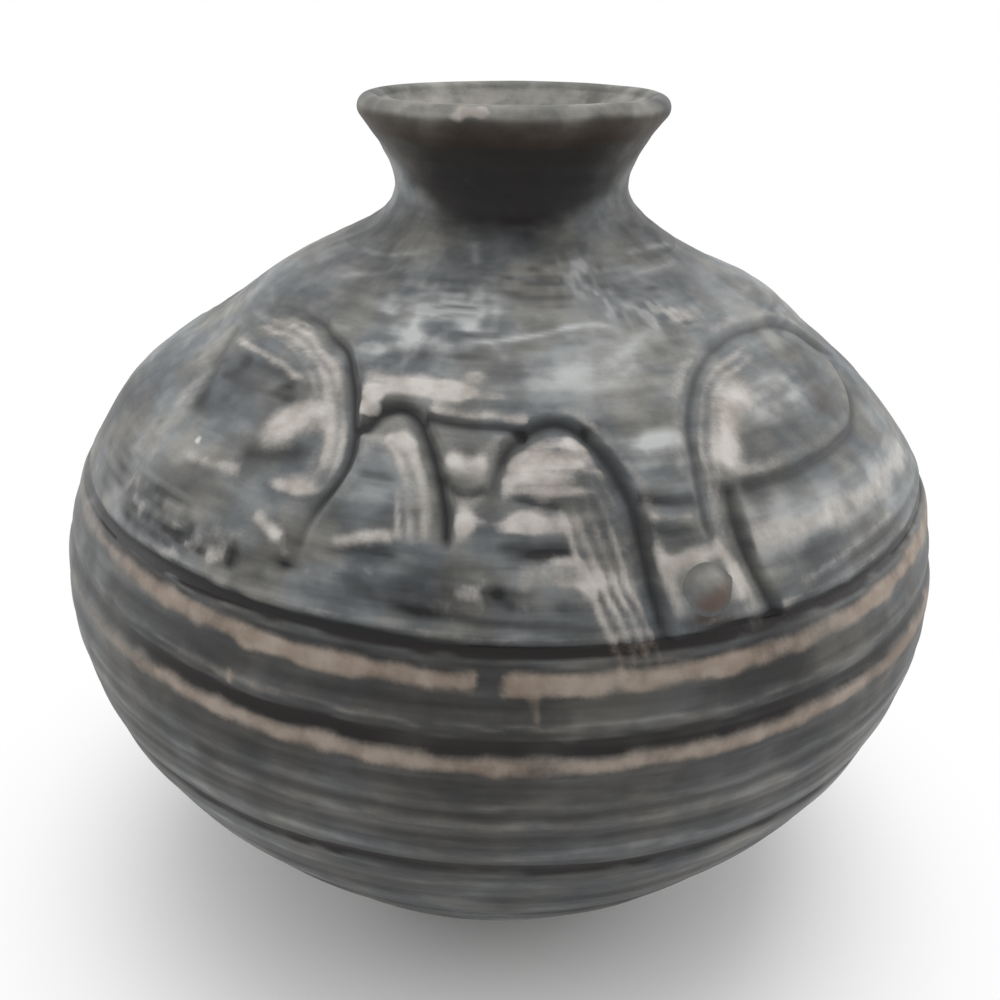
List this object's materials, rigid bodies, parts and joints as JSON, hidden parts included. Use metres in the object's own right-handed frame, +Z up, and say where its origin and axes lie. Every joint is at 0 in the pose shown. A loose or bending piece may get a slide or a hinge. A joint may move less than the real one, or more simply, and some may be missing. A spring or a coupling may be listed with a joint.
{
  "type": "miniature vase",
  "caption": "Squat wheel-thrown miniature vase with turned grooves on the bowl, a band of carved arches and loops on the shoulder, and a short flared neck.",
  "frame": {"origin": "centre of the foot, on the plane that the vase stands on", "axes": "+Z up along the turning axis, -Y towards the carved front of the picture"},
  "size_m": [0.076, 0.076, 0.0699],
  "materials": {
    "bare_clay": "unglazed fired clay",
    "ringed_glaze": "satin charcoal slip, worn to the clay on the ridges",
    "carved_glaze": "satin blue-grey slip, wiped back beside the carved lines",
    "neck_glaze": "satin charcoal slip",
    "rim_glaze": "satin grey-brown slip, worn at the lip",
    "pellet_glaze": "satin blue-grey slip"
  },
  "bodies": {
    "root": {"foot_ring": "bare_clay", "lower_bowl": "ringed_glaze", "shoulder_dome": "carved_glaze", "neck_collar": "neck_glaze", "mouth_rim": "rim_glaze", "pellet_1": "pellet_glaze", "pellet_2": "pellet_glaze"}
  },
  "joints": []
}
